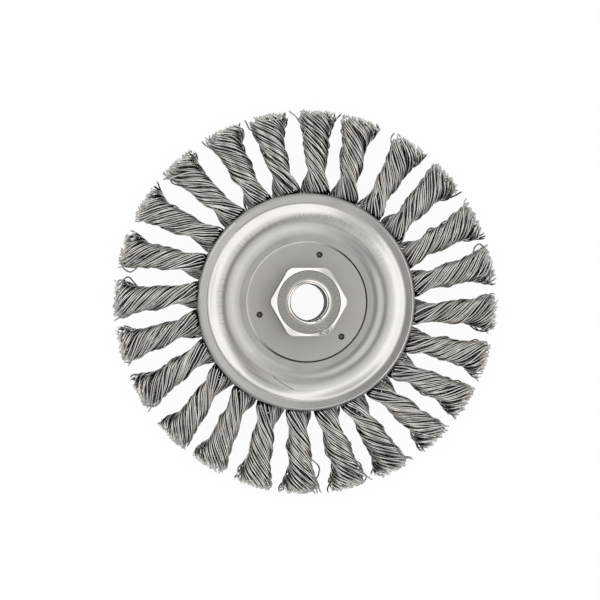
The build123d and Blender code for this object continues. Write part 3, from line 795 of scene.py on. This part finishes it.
def drawn_wire():
    """Hard-drawn carbon steel wire: each wire a little lighter or darker than the next, and painted shade
    that gives it a grey lustre on the side that faces out and makes it dark where the wires meet."""
    material, tree = new_material("hard-drawn steel wire")
    tone = add_node(tree, "ShaderNodeAttribute", {"attribute_name": "wire_tone_and_shade"}, {})
    place = add_node(tree, "ShaderNodeTexCoord", {}, {}).outputs["Object"]
    stain = add_node(tree, "ShaderNodeTexNoise", {}, {"Vector": place, "Scale": 1 / WIRE_STAIN, "Detail": 3})
    light = add_node(tree, "ShaderNodeMapRange", {"interpolation_type": "SMOOTHSTEP"}, {
        "Value": stain, "From Min": 0.3, "From Max": 0.7, "To Min": 0.75, "To Max": 1})
    share = add_node(tree, "ShaderNodeMath", {"operation": "MULTIPLY"}, {0: tone.outputs["Fac"], 1: light})
    colour = add_node(tree, "ShaderNodeMix", {"data_type": "RGBA"}, {
        "Factor": share, COLOUR_A: linear("#302c29"), COLOUR_B: linear("#f8f4ef")}).outputs[COLOUR_OUT]
    rough = add_node(tree, "ShaderNodeMapRange", {}, {
        "Value": stain, "From Min": 0.3, "From Max": 0.7, "To Min": 0.12, "To Max": 0.2})
    shader = add_node(tree, "ShaderNodeBsdfPrincipled", {}, {
        "Base Color": colour, "Metallic": 1, "Roughness": rough})
    add_node(tree, "ShaderNodeOutputMaterial", {}, {"Surface": shader})
    return material


def rolled_core_steel():
    """Plain rolled steel, hidden between the plates: dark grey mill finish."""
    material, tree = new_material("mill-finish rolled steel")
    place = add_node(tree, "ShaderNodeTexCoord", {}, {}).outputs["Object"]
    stain = add_node(tree, "ShaderNodeTexNoise", {}, {"Vector": place, "Scale": 1 / CORE_STAIN, "Detail": 3})
    colour = add_node(tree, "ShaderNodeMix", {"data_type": "RGBA"}, {
        "Factor": stain, COLOUR_A: linear("#6f6c67"), COLOUR_B: linear("#93908b")}).outputs[COLOUR_OUT]
    rough = add_node(tree, "ShaderNodeMapRange", {}, {
        "Value": stain, "From Min": 0.3, "From Max": 0.7, "To Min": 0.4, "To Max": 0.5})
    shader = add_node(tree, "ShaderNodeBsdfPrincipled", {}, {
        "Base Color": colour, "Metallic": 1, "Roughness": rough})
    add_node(tree, "ShaderNodeOutputMaterial", {}, {"Surface": shader})
    return material


# Photograph's frame
FRAME_PX = 600
PX_PER_MM = 3.07
CENTRE_PX = (305.4, 302.0)      # arbor axis at the wheel's middle plane
CAMERA_TILT = radians(3.4)
CAMERA_FAR = 2.2                # metres, a long lens, from the near lack of perspective
CLIP_END = 20
SENSOR = 36                     # in the camera's own millimetres


def photo_camera():
    """Camera above the wheel, a little to the left of its axis."""
    data = bpy.data.cameras.new("camera")
    camera = bpy.data.objects.new("camera", data)
    bpy.context.scene.collection.objects.link(camera)
    right = Vector((cos(CAMERA_TILT), 0, sin(CAMERA_TILT)))
    up = Vector((0, 1, 0))
    back = right.cross(up)
    middle = Vector((0, 0, MID_Z))
    middle -= right * (CENTRE_PX[0] - FRAME_PX / 2) / PX_PER_MM * MM
    middle += up * (CENTRE_PX[1] - FRAME_PX / 2) / PX_PER_MM * MM
    camera.matrix_world = Matrix((right, up, back)).transposed().to_4x4()
    camera.location = middle + back * CAMERA_FAR
    data.sensor_width = SENSOR
    data.lens = SENSOR * CAMERA_FAR / (FRAME_PX / PX_PER_MM * MM)
    data.clip_end = CLIP_END
    bpy.context.scene.camera = camera


# Studio light, as levels on a sky that grow from straight above outwards and fall again to the horizon.
# Angles are in degrees from straight up
SKY_LEVELS = [(0, 0.6), (4, 0.64), (12, 0.82), (28, 1.02), (44, 1.43), (56, 1.45), (72, 1.3), (90, 0.8)]

# Where less light comes from: angle from straight up, azimuth from +X, inner edge, outer edge, share left.
# The first is the camera's own place, the next eight the two gaps between the large panels, and the last four
# the weaker light near the horizon
SHADES = [
    (6.5, 155, 4, 11, 0.5),
    (13, 97, 2, 9, 0.55),
    (24, 68, 4, 14, 0.65),
    (40, 54, 5, 16, 0.58),
    (60, 50, 8, 20, 0.6),
    (13, 225, 2, 9, 0.55),
    (26, 236, 6, 15, 0.6),
    (44, 245, 8, 20, 0.5),
    (36, 268, 3, 11, 0.8),
    (68, 300, 8, 26, 0.6),
    (80, 170, 12, 32, 0.75),
    (102, 10, 16, 32, 0.25),
    (100, -60, 18, 34, 0.25),
]


def aim(from_up, azimuth):
    """Unit vector at this angle from straight up, towards this azimuth, both in degrees."""
    lean, turn = radians(from_up), radians(azimuth)
    return Vector((sin(lean) * cos(turn), sin(lean) * sin(turn), cos(lean)))


def studio_sky():
    """World lit by soft panels all round, darker where the camera looks in."""
    world = bpy.data.worlds.new("studio")
    world.use_nodes = True
    bpy.context.scene.world = world
    tree = world.node_tree
    tree.nodes.clear()
    place = add_node(tree, "ShaderNodeTexCoord", {}, {}).outputs["Generated"]
    heading = add_node(tree, "ShaderNodeVectorMath", {"operation": "NORMALIZE"}, {0: place})
    height = add_node(tree, "ShaderNodeSeparateXYZ", {}, {0: heading}).outputs["Z"]
    level = SKY_LEVELS[-1][1]
    for (near, first), (far, second) in zip(SKY_LEVELS[::-1][1:], SKY_LEVELS[::-1]):
        share = add_node(tree, "ShaderNodeMapRange", {"interpolation_type": "SMOOTHSTEP"}, {
            "Value": height, "From Min": cos(radians(far)), "From Max": cos(radians(near)),
            "To Min": 0, "To Max": 1})
        level = add_node(tree, "ShaderNodeMath", {"operation": "MULTIPLY_ADD"}, {
            0: share, 1: first - second, 2: level})
    for from_up, azimuth, inner, outer, left in SHADES:
        near = add_node(tree, "ShaderNodeVectorMath", {"operation": "DOT_PRODUCT"}, {
            0: heading, 1: aim(from_up, azimuth)}).outputs["Value"]
        kept = add_node(tree, "ShaderNodeMapRange", {"interpolation_type": "SMOOTHSTEP"}, {
            "Value": near, "From Min": cos(radians(outer)), "From Max": cos(radians(inner)),
            "To Min": 1, "To Max": left})
        level = add_node(tree, "ShaderNodeMath", {"operation": "MULTIPLY"}, {0: level, 1: kept})
    light = add_node(tree, "ShaderNodeBackground", {}, {"Color": (1, 1, 1, 1), "Strength": level})
    add_node(tree, "ShaderNodeOutputWorld", {}, {"Surface": light})


FLOOR_R = 6.0
FLOOR_GLOW = 0.95               # share of the floor's white that shows whatever falls on it


def white_floor():
    """Matt white paper floor. Seen straight or in the metal, it is white and keeps a faint shadow."""
    bpy.ops.mesh.primitive_circle_add(vertices=96, radius=FLOOR_R, fill_type="NGON", location=(0, 0, 0))
    floor = bpy.context.object
    floor.name = "floor"
    material, tree = new_material("matt white paper")
    path = add_node(tree, "ShaderNodeLightPath", {}, {})
    seen = add_node(tree, "ShaderNodeMath", {"operation": "ADD"}, {
        0: path.outputs["Is Camera Ray"], 1: path.outputs["Is Glossy Ray"]})
    seen = add_node(tree, "ShaderNodeMath", {"operation": "ADD", "use_clamp": True}, {
        0: seen, 1: path.outputs["Is Transmission Ray"]})
    place = add_node(tree, "ShaderNodeTexCoord", {}, {}).outputs["Object"]
    tooth = add_node(tree, "ShaderNodeTexNoise", {}, {"Vector": place, "Scale": 1 / PAPER_TOOTH, "Detail": 3})
    bump = add_node(tree, "ShaderNodeBump", {}, {"Strength": 0.1, "Distance": PAPER_DEPTH, "Height": tooth})
    paper = add_node(tree, "ShaderNodeBsdfDiffuse", {}, {"Color": linear("#fafafa"), "Normal": bump})
    glow = add_node(tree, "ShaderNodeEmission", {}, {"Color": (1, 1, 1, 1), "Strength": 1})
    share = add_node(tree, "ShaderNodeMath", {"operation": "MULTIPLY"}, {0: seen, 1: FLOOR_GLOW})
    surface = add_node(tree, "ShaderNodeMixShader", {}, {0: share, 1: paper, 2: glow})
    add_node(tree, "ShaderNodeOutputMaterial", {}, {"Surface": surface})
    floor.data.materials.append(material)


def dress(name, material):
    """Gives a carried-over piece its material."""
    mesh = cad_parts[name].data
    mesh.materials.clear()
    mesh.materials.append(material)


photo_camera()
bpy.context.scene.view_settings.view_transform = "Standard"
studio_sky()
white_floor()

wire = drawn_wire()
for count, knot in enumerate(KNOTS, 1):
    wire_knot(count, knot).data.materials.append(wire)
threaded_nut().data.materials.append(turned_nut_steel())
sheet = pressed_zinc_plate()
core = rolled_core_steel()
dress("front_plate", sheet)
dress("back_plate", sheet)
dress("hub_washer", satin_washer())
dress("core_disc", core)
dress("hub_spacer_front", core)
dress("hub_spacer_back", core)
